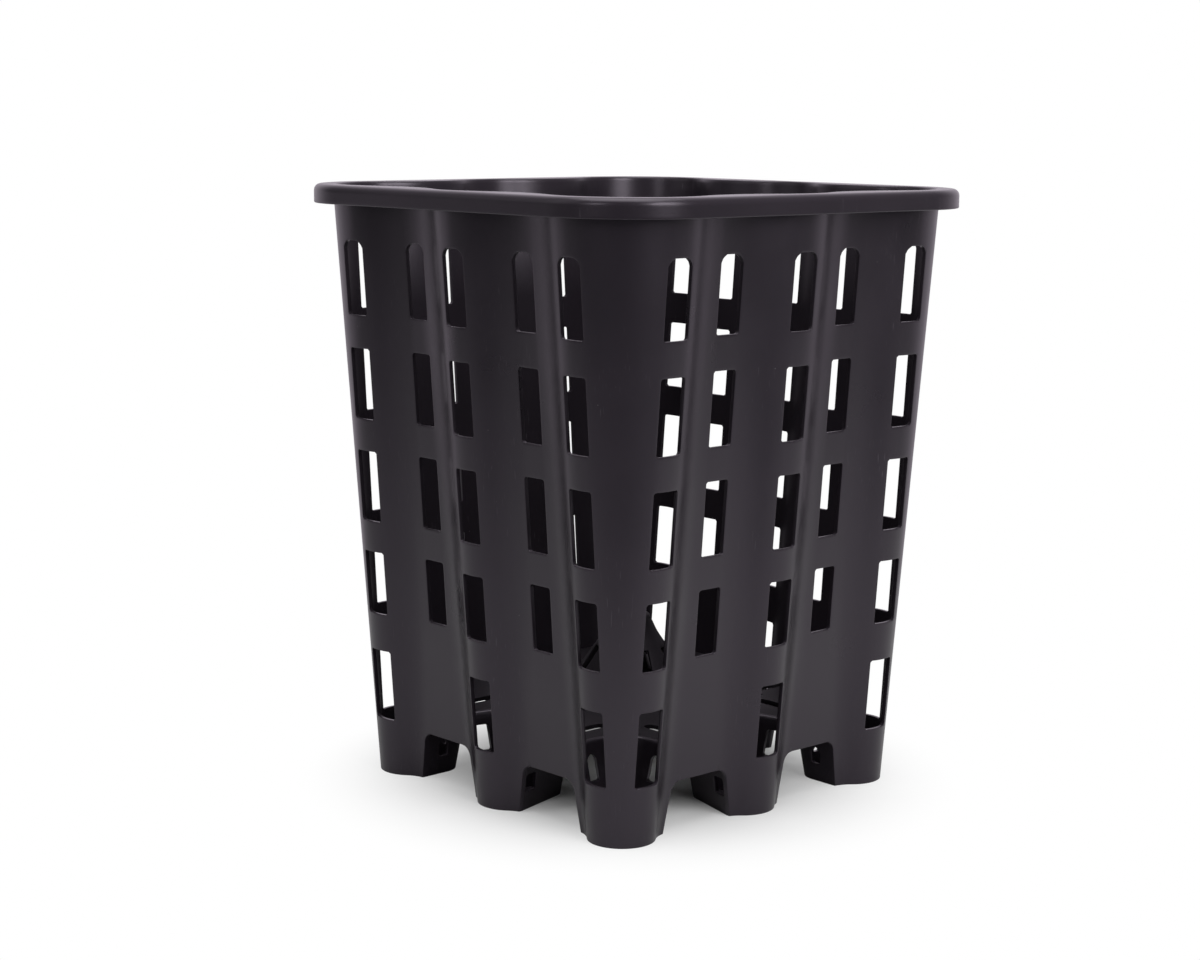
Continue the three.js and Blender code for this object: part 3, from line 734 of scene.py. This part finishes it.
def foot(name, node, pathAt, window, soleEdge, drain, turns):
    # A foot: its side wall, with windows, and its sole. The deck turns down into it with a rounded edge.
    levels = [0.0]
    rows = windowRows(levels, window)
    levels = np.array([*levels, deckTop - footSizes["topBand"], deckTop])
    offsets = pathAt(0.0, levels)[1]
    half = window["width"] / 2
    z = cutCorners(offsets, half, levels, rows, window["lowerCut"])
    sheets = []
    for grow in (-thickness, 0.0):
        plan = np.stack([pathAt(grow, z[i])[0][:, i] for i in range(len(offsets))])
        sheets.append(quarterTurns(np.stack([plan[:, 0], plan[:, 1], z], -1), turns))
    softPocket, softOutside = np.ones(z.shape, bool), np.ones(z.shape, bool)
    softPocket[:, 0] = softOutside[:, -1] = False
    for soft in (softPocket, softOutside):
        soft[0] = soft[-1] = False
    topRound = footSizes["topRound"]
    cells = solidCells(offsets, half, levels, rows)
    piece = shell(name, node, *sheets, cells, softPocket, softOutside, topRound=topRound)

    inside = pathAt(-thickness, np.zeros(1))[0][:, :, 0].T
    outline = np.concatenate([inside, soleEdge(inside)])
    points, faces, soft = plate(outline, [ring(*drain, footSizes["drainRadius"])], 0.0, footSizes["sole"])
    mesh, weights = plateMesh(name + "_sole", quarterTurns(points, turns), faces, soft,
                              wallSizes["edgeRound"] / topRound)
    mesh.attributes.new("bevel_weight_edge", "FLOAT", "EDGE").data.foreach_set("value", weights)
    mesh.set_sharp_from_angle(angle=wallSizes["creaseAngle"])
    mesh.materials.append(plastic)
    sole = bpy.data.objects.new(name + "_sole", mesh)
    bpy.context.scene.collection.objects.link(sole)
    both = [piece, sole]
    with bpy.context.temp_override(active_object=piece, object=piece, selected_objects=both,
                                   selected_editable_objects=both):
        bpy.ops.object.join()


def alongFront(us, z=0.0):
    # Points on the inner side of the front wall, in plan at one height.
    return np.stack([us, -faceOut(us, z, thickness)], -1)


def sideFoot(face, turns):
    # Its sole ends along the inner side of the front wall, between the foot's own two sides.

    def soleEdge(inside):
        return alongFront(np.linspace(inside[-1, 0], inside[0, 0], footSizes["sideSoleFacets"] + 1)[1:-1])

    foot(f"sideFoot_{face}", f"side_foot_{face}", sideFootPath, sideWindow, soleEdge,
         (0.0, -footSizes["sideDrain"]), turns)


def cornerFoot(corner, turns):
    # Its sole ends at the wall, which turns the corner with a quarter circle.
    radius = wallSizes["cornerColumn"][0] - thickness
    angle = np.linspace(pi / 2, 0, footSizes["endFacets"] + 1)[1:-1]
    cornerArcPoints = np.stack([pitch + radius * np.sin(angle), -pitch - radius * np.cos(angle)], -1)

    def soleEdge(inside):
        front = alongFront(np.linspace(inside[0, 0], pitch, footSizes["cornerSoleFacets"] + 1)[1:])
        return np.concatenate([acrossDiagonal(front), cornerArcPoints, front[::-1]])

    foot(f"cornerFoot_{corner}", f"corner_foot_{corner}", cornerFootPath, cornerWindow, soleEdge,
         (footSizes["cornerDrain"], -footSizes["cornerDrain"]), turns)


deckSizes = {
    "plate": 0.0022,
    "slotWidth": 0.007,
    "ridgeSlot": (0.055, 0.024),  # distance from the pot's axis, and length
    "cornerSlot": (0.047, 0.024),
    "capFacets": 8,  # of a slot's round end
    "edgeFacets": 13,  # of the edge along the wall, from foot to foot
    "holeFacets": 96,  # of the hole under the cone
}
coneSizes = {
    "topRadius": 0.010,
    "shoulder": 0.078,
    "shoulderRadius": 0.014,
    "footRadius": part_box("base_cone")[1].x,
    "top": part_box("base_cone")[1].z,
    "slots": 8,
    "slotHalf": 0.003,  # half width
    "slotBottom": 0.051,
    "slotHeight": 0.020,
    "slotEnd": 0.003,  # from a slot's end to the next grid line
    "slotStations": (-1.0, -0.7, 0.0, 0.7, 1.0),  # in half widths from a slot's middle
    "ribStations": (1.5, 2.5, 3.5, 4.5, 5.5),  # the same scale on to the next slot
    "widestSine": 0.3,  # of half a slot's angle, for the lines near the axis
    "foot": (0.0002, 0.0012),  # what the foot tapers by, and its rounding
    "footLine": 0.0475,  # the grid line between the foot and the slots
    "bendStart": 0.0745,
    "bendEnd": (0.0125, 0.0815),  # radius and height
    "topRound": 0.0018,
    "topSpread": 0.0003,  # what the cap stands out past the top radius
    "topLine": 0.004,
}


def longHole(origin, direction, start, length):
    # A slot with round ends that starts some way from an origin: two half circles, one at each end.
    radius = deckSizes["slotWidth"] / 2
    angle = np.linspace(-pi / 2, pi / 2, deckSizes["capFacets"] + 1)
    across = np.array([-direction[1], direction[0]])
    cap = np.cos(angle)[:, None] * direction + np.sin(angle)[:, None] * across
    near, far = origin + direction * (start + radius), origin + direction * (start + length - radius)
    return np.concatenate([far + cap * radius, near - cap * radius])


def deck():
    # A plate whose edge follows the feet and the wall, by quarter turns, with its slots and the cone's hole.
    height = np.array([deckTop])
    side = sideFootPath(0.0, height)[0][:, :, 0].T
    corner = cornerFootPath(0.0, height)[0][:, :, 0].T
    end = alongFront(np.linspace(side[-1, 0], corner[0, 0], deckSizes["edgeFacets"] + 1)[1:-1], deckTop)
    quarterEdge = np.concatenate([side, end, corner, acrossDiagonal(end)[::-1]])
    outline = np.concatenate([quarterTurns(quarterEdge, turns) for turns in range(4)])
    ridge = (footSizes["sideHalf"] + footSizes["cornerEdge"]) / 2
    forward, diagonal = np.array([0.0, -1.0]), np.array([1, -1]) / np.sqrt(2)
    slots = [longHole(np.array([u, 0.0]), forward, *deckSizes["ridgeSlot"]) for u in (ridge, -ridge)]
    slots.append(longHole(np.zeros(2), diagonal, *deckSizes["cornerSlot"]))
    holes = [ring(0, 0, coneSizes["footRadius"], deckSizes["holeFacets"])]
    holes += [quarterTurns(slot, turns) for turns in range(4) for slot in slots]
    points, faces, soft = plate(outline, holes, deckTop - deckSizes["plate"], deckTop)
    mesh, weights = plateMesh("deck", points, faces, soft[2:])
    finishPiece(mesh, "deck", "base_deck", weights)


def arc(centreOut, centreZ, radius, start, end, facets):
    # Points of a profile, as distance out and height, round a centre.
    angle = np.linspace(start, end, facets + 1)
    return np.stack([centreOut + radius * np.cos(angle), centreZ + radius * np.sin(angle)], -1)


def coneProfile(sizes):
    # A foot, a slope with the slots, a shoulder that bends as a curve of the second degree, and a round cap.
    # It comes with the first and last line of the slots.
    slope = (sizes["footRadius"] - sizes["shoulderRadius"]) / (sizes["shoulder"] - deckTop)

    def onSlope(z):
        return sizes["footRadius"] - slope * (z - deckTop), z

    taper, footRound = sizes["foot"]
    skirt = [(sizes["footRadius"], deckTop - thickness), (sizes["footRadius"] - taper, deckTop),
             (onSlope(deckTop)[0] - footRound, deckTop + footRound), onSlope(sizes["footLine"])]
    low, high = sizes["slotBottom"], sizes["slotBottom"] + sizes["slotHeight"]
    ends = (low, low + sizes["slotEnd"], between(low, high, 0.5), high - sizes["slotEnd"], high)
    slots = [onSlope(z) for z in ends]
    handles = [onSlope(sizes["bendStart"]), (sizes["shoulderRadius"], sizes["shoulder"]), sizes["bendEnd"]]
    t = np.linspace(0, 1, 6)[:, None]
    shares = ((1 - t) ** 2, 2 * t * (1 - t), t ** 2)
    bend = sum(share * np.array(handle) for share, handle in zip(shares, handles))
    top, topRound = sizes["top"], sizes["topRound"]
    cap = arc(sizes["topRadius"] + sizes["topSpread"] - topRound, top - topRound, topRound, 0, pi / 2, 5)
    profile = np.concatenate([skirt, slots, bend, cap, [(sizes["topLine"], top), (0.0, top)]])
    return profile, len(skirt), len(skirt) + len(slots) - 1


def cone():
    # A turned shell. Stations are angles, levels run up its profile, and the slots follow its slope.
    sizes = coneSizes
    profile, first, last = coneProfile(sizes)
    tangent = np.gradient(profile, axis=0)
    normal = np.stack([tangent[:, 1], -tangent[:, 0]], -1)
    normal /= np.linalg.norm(normal, axis=1)[:, None]
    normal[0], normal[-1] = (1, 0), (0, 1)
    inside = profile - normal * thickness
    inside[:, 0] = np.maximum(inside[:, 0], 0)
    inside[0, 1] = profile[0, 1]
    ribEnd = sizes["ribStations"][-1]
    steps = np.tile([*sizes["slotStations"], *sizes["ribStations"][:-1]], sizes["slots"])[:, None]
    share = 2 * pi / sizes["slots"]
    middles = share * (np.arange(len(steps)) // (len(steps) // sizes["slots"]) + 0.5)[:, None]
    sheets = []
    for line in (profile, inside):
        radius, z = line[:, 0], line[:, 1]
        halfAngle = np.arcsin(np.clip(sizes["slotHalf"] / np.maximum(radius, nearly), 0, sizes["widestSine"]))
        onRib = halfAngle + (steps - 1) / (ribEnd - 1) * (share - 2 * halfAngle)
        angle = middles + np.where(steps <= 1, steps * halfAngle, onRib)
        x, y = radius * np.cos(angle), radius * np.sin(angle)
        sheets.append(np.stack([x, y, np.broadcast_to(z, angle.shape)], -1))
    inSlot = np.abs(steps[:, 0]) <= 1
    solid = np.ones((len(steps), len(profile) - 1), bool)
    solid[np.ix_(inSlot & np.roll(inSlot, -1), np.arange(first, last))] = False
    soft = np.ones((len(steps), len(profile)), bool)
    soft[:, 0] = soft[:, -1] = False
    shell("cone", "base_cone", *sheets, solid, soft, soft, closed=True)


rimSizes = {
    "outer": cadBox[1][0],
    "foot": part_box("rim")[0].z,
    "plate": 0.0022,
    "outerRound": 0.0034,
    "innerRound": 0.0012,
    "lipRound": 0.0006,
    "fillet": 0.0016,
    "band": 0.0008,  # of plain wall beside a rounding
    "faceFacets": 84,
    "cornerFacets": 28,
    "smallFacets": 4,  # of the lip, of the inner rounding and fillet, and of the outer rounding
    "middleFacets": 5,
    "largeFacets": 9,
}


def rim():
    # A profile carried round the mouth: its inner points follow the columns, its outer ones a rounded square.
    sizes = rimSizes
    us = np.linspace(-pitch, pitch, sizes["faceFacets"], endpoint=False)
    angles = np.linspace(0, pi / 2, sizes["cornerFacets"], endpoint=False)
    base = np.concatenate([np.c_[us, np.full(len(us), -pitch)], np.tile([pitch, -pitch], (len(angles), 1))])
    out = np.concatenate([np.tile([0.0, -1.0], (len(us), 1)), np.c_[np.sin(angles), -np.cos(angles)]])

    def wallRadius(z, inset):
        return np.concatenate([faceOut(us, z, inset) - pitch, np.full(len(angles), columnRadius(z) - inset)])

    small, large, lip, fillet = sizes["innerRound"], sizes["outerRound"], sizes["lipRound"], sizes["fillet"]
    few, some, many = sizes["smallFacets"], sizes["middleFacets"], sizes["largeFacets"]
    top, under, low, band = potHeight, potHeight - sizes["plate"], sizes["foot"], sizes["band"]
    skirt = sizes["outer"] - pitch
    inside = skirt - sizes["plate"]
    mouth = wallRadius(top, thickness) + small
    profile = [(wallRadius(under, thickness), under), (wallRadius(top - small, thickness), top - small)]
    profile += [(mouth + x, z) for x, z in arc(0, top - small, small, pi, pi / 2, some)[1:]]
    profile += [(mouth + band, top)]
    outer = np.concatenate([
        [(skirt - large - band, top)], arc(skirt - large, top - large, large, pi / 2, 0, many),
        [(skirt, top - large - band), (skirt, low + lip + band)],
        arc(skirt - lip, low + lip, lip, 0, -pi / 2, few),
        arc(inside + lip, low + lip, lip, -pi / 2, -pi, few),
        arc(inside - fillet, under - fillet, fillet, 0, pi / 2, some)])
    profile += [(np.full(len(out), radius), z) for radius, z in outer]
    profile += [(wallRadius(under, 0.0), under)]
    lines = [np.c_[base + out * radius[:, None], np.full(len(out), z)] for radius, z in profile]
    points = np.concatenate([quarterTurns(np.stack(lines, 1), turns) for turns in range(4)])
    around, count = points.shape[:2]
    index = np.arange(around * count).reshape(around, count)
    nextOne, above = np.roll(index, -1, 0), np.roll(index, -1, 1)
    quads = np.stack([index, nextOne, np.roll(nextOne, -1, 1), above], -1).reshape(-1, 4)
    mesh = bpy.data.meshes.new("rim")
    mesh.from_pydata(points.reshape(-1, 3), [], quads.tolist())
    finishPiece(mesh, "rimBand", "rim")


faces = ["front", "right", "back", "left"]
corners = ["front_right", "back_right", "back_left", "front_left"]
for turns, (face, corner) in enumerate(zip(faces, corners)):
    sideColumn(face, turns)
    cornerColumn(corner, turns)
    valleyPanel(face, -1, "a", turns)
    valleyPanel(face, 1, "b", turns)
    sideFoot(face, turns)
    cornerFoot(corner, turns)
print("wall and feet made")
deck()
cone()
rim()
print("deck, cone and rim made")

# A white studio: a pale floor that keeps the pot's shadow, and a white backdrop behind the pot.
studio = {
    "floorColour": "#dedede",
    "floorHalf": 6.0,
    "shadowReach": (0.05, 0.18),  # from the pot's axis: the camera sees the lit floor, then plain white
    "paintedShadeFloorColour": "#78787b",  # painted shade: the colour the paper darkens to away from the pot, where less light falls
    "paintedShadeFront": (0.26, 0.64),  # from the pot's axis towards the viewer: where the painted shade on the paper begins, and where it is full
    "paintedShadeSides": (0.1, 1.5),  # the same round a point beside the axis
    "paintedShadeSideShare": 0.6,  # how far the painted shade darkens the paper there
    "paintedShadeAside": 0.25,  # that point, to the right, so the painted shade is deeper on the left
    "sweep": (0.15, 0.55),  # from the pot's axis away from the viewer: where gloss sees the lit sweep
    "sweepLight": 0.7,
    "mirroredTint": "#fdf3ff",  # of the sweep and the room in the plastic
    "ambient": 0.3,
    "room": 0.25,  # what gloss sees beside and in front of the pot
    "roomTilt": 0.16,  # brighter on the right and dimmer on the left
    "backdrop": 1.0,
    "backdropEdge": (0.2, 0.9),  # how much a direction points away from the viewer: room, then backdrop
    "lamps": [
        # name, azimuth to the right of the camera, elevation, distance, size, strength
        ("leftSoftbox", -78, 32, 1.5, (0.9, 1.2), 2.0),
        ("rightSoftbox", 42, 28, 1.6, (0.6, 1.0), 11),
        ("frontLeft", -34, 21, 1.9, (0.25, 0.5), 3.4),
        ("frontRight", 28, 21, 1.9, (0.25, 0.5), 4.2),
        ("overhead", -10, 86, 1.7, (1.6, 1.6), 26),
    ],
}
white = (1, 1, 1, 1)
smooth = {"interpolation_type": "SMOOTHSTEP"}


def makeFloor(settings):
    # Matt paper, pale with no gloss, with painted shade that darkens it away from the pot. It can't be seen
    # from below.
    half = settings["floorHalf"]
    mesh = bpy.data.meshes.new("floor")
    points = [(-half, -half, 0), (half, -half, 0), (half, half, 0), (-half, half, 0)]
    mesh.from_pydata(points, [], [(0, 1, 2, 3)])
    floor = bpy.data.objects.new("floor", mesh)
    bpy.context.scene.collection.objects.link(floor)
    material = bpy.data.materials.new("matt_white_paper_painted_shade")
    add = emptyTree(material)
    place = add("TexCoord").outputs["Object"]
    ray = add("LightPath").outputs
    forward = add("VectorMath", {"operation": "DOT_PRODUCT", 0: place, 1: towardsCamera})

    # Plain light, for the camera away from the pot and for gloss on the sweep behind it
    far = add("VectorMath", {"operation": "LENGTH", 0: place})
    share = add("MapRange", {**smooth, "Value": far, **limits(settings["shadowReach"])})
    sweep = add("MapRange", {**smooth, "Value": forward, **limits([-reach for reach in settings["sweep"]])})
    swept = add("Math", {"operation": "MULTIPLY", 0: sweep, 1: ray["Is Glossy Ray"]})
    plain = add("Mix", {0: ray["Is Camera Ray"], 2: swept, 3: share})
    glow = add("Mix", {0: ray["Is Camera Ray"], 2: settings["sweepLight"], 3: 1.0})
    mirrored = toLinear(settings["mirroredTint"])
    glowTint = add("Mix", {"data_type": "RGBA", 0: ray["Is Camera Ray"], 6: mirrored, 7: white})
    light = add("Emission", {"Color": glowTint, "Strength": glow})

    # The paper with painted shade: darker away from the pot in front, and less so beside it
    middle = [settings["paintedShadeAside"] * part for part in toRight]
    fromMiddle = add("VectorMath", {"operation": "DISTANCE", 0: place, 1: middle})
    front = add("MapRange", {**smooth, "Value": forward, **limits(settings["paintedShadeFront"])})
    shares = limits((0.0, settings["paintedShadeSideShare"]), "To")
    sides = add("MapRange", {"Value": fromMiddle, **limits(settings["paintedShadeSides"]), **shares})
    paintedShade = add("Math", {"operation": "MAXIMUM", 0: front, 1: sides})
    colours = {6: toLinear(settings["floorColour"]), 7: toLinear(settings["paintedShadeFloorColour"])}
    paintedShadeTone = add("Mix", {"data_type": "RGBA", 0: paintedShade, **colours})
    paper = add("BsdfDiffuse", {"Color": paintedShadeTone})
    mixed = add("MixShader", {0: plain, 1: paper, 2: light})
    under = add("NewGeometry").outputs["Backfacing"]
    oneSided = add("MixShader", {0: under, 1: mixed, 2: add("BsdfTransparent")})
    add("OutputMaterial", {"Surface": oneSided})
    mesh.materials.append(material)


def makeWorld(settings):
    # The camera sees plain white. Gloss sees the white backdrop behind the pot, and a dark room elsewhere.
    world = bpy.data.worlds.new("studio")
    bpy.context.scene.world = world
    add = emptyTree(world)
    direction = add("TexCoord").outputs["Generated"]
    ray = add("LightPath").outputs
    away = [-part for part in towardsCamera]
    facing = add("VectorMath", {"operation": "DOT_PRODUCT", 0: direction, 1: away})
    aside = add("VectorMath", {"operation": "DOT_PRODUCT", 0: direction, 1: toRight})
    room = add("Math", {"operation": "MULTIPLY_ADD", 0: aside, 1: settings["roomTilt"], 2: settings["room"]})
    tones = limits((room, settings["backdrop"]), "To")
    behind = add("MapRange", {**smooth, "Value": facing, **limits(settings["backdropEdge"]), **tones})
    ambient = add("Mix", {0: ray["Is Glossy Ray"], 2: settings["ambient"], 3: behind})
    strength = add("Mix", {0: ray["Is Camera Ray"], 2: ambient, 3: 1.0})
    mirrored = toLinear(settings["mirroredTint"])
    tint = add("Mix", {"data_type": "RGBA", 0: ray["Is Glossy Ray"], 6: white, 7: mirrored})
    background = add("Background", {"Color": tint, "Strength": strength})
    add("OutputWorld", {"Surface": background})


def makeLamps(settings):
    # Each lamp looks at the pot's middle.
    middle = Vector((0, 0, potHeight / 2))
    for name, azimuth, elevation, distance, size, strength in settings["lamps"]:
        turn = cameraSettings["azimuth"] + radians(azimuth)
        rise = radians(elevation)
        away = Vector((sin(turn) * cos(rise), -cos(turn) * cos(rise), sin(rise)))
        data = bpy.data.lights.new(name, "AREA")
        data.shape = "RECTANGLE"
        data.size, data.size_y = size
        data.energy = strength
        lamp = bpy.data.objects.new(name, data)
        lamp.location = middle + away * distance
        lamp.rotation_euler = away.to_track_quat("Z", "Y").to_euler()
        bpy.context.scene.collection.objects.link(lamp)


makeFloor(studio)
makeWorld(studio)
makeLamps(studio)
bpy.context.scene.view_settings.view_transform = "Standard"
print("studio lit")
